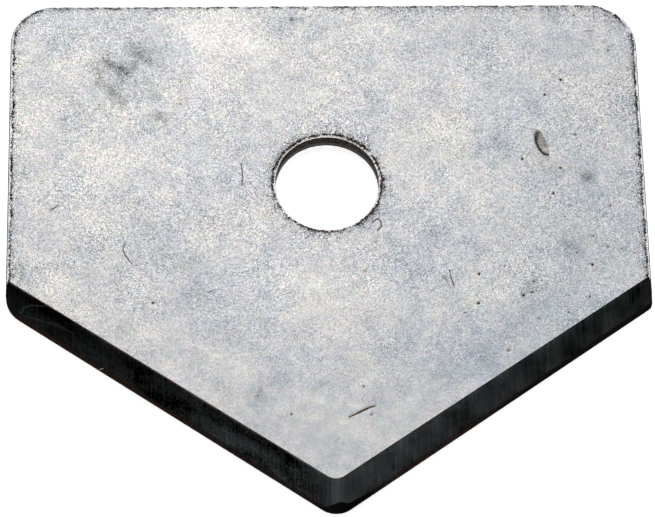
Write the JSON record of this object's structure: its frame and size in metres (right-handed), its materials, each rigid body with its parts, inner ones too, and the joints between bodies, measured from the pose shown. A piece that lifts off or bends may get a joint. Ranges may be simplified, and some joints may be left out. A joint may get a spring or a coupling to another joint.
{
  "type": "pipe cutter blade",
  "caption": "Flat pentagonal steel blade for a plastic pipe cutter, with a fixing bore near its middle and a V-shaped cutting edge ground from both faces.",
  "frame": {"origin": "centre of the fixing bore, halfway through the plate", "axes": "+Z square to the plate, along the bore; +X to the right along the back edge; +Y from the point towards the back edge"},
  "size_m": [0.037, 0.0327, 0.001],
  "materials": {
    "blade_steel": "hardened tool steel, barrel-tumbled to a matt grey with dark specks, stains and scratches; rolled rims burnished bright; ground bevels left dark"
  },
  "bodies": {
    "root": {"blade": "blade_steel"}
  },
  "joints": []
}
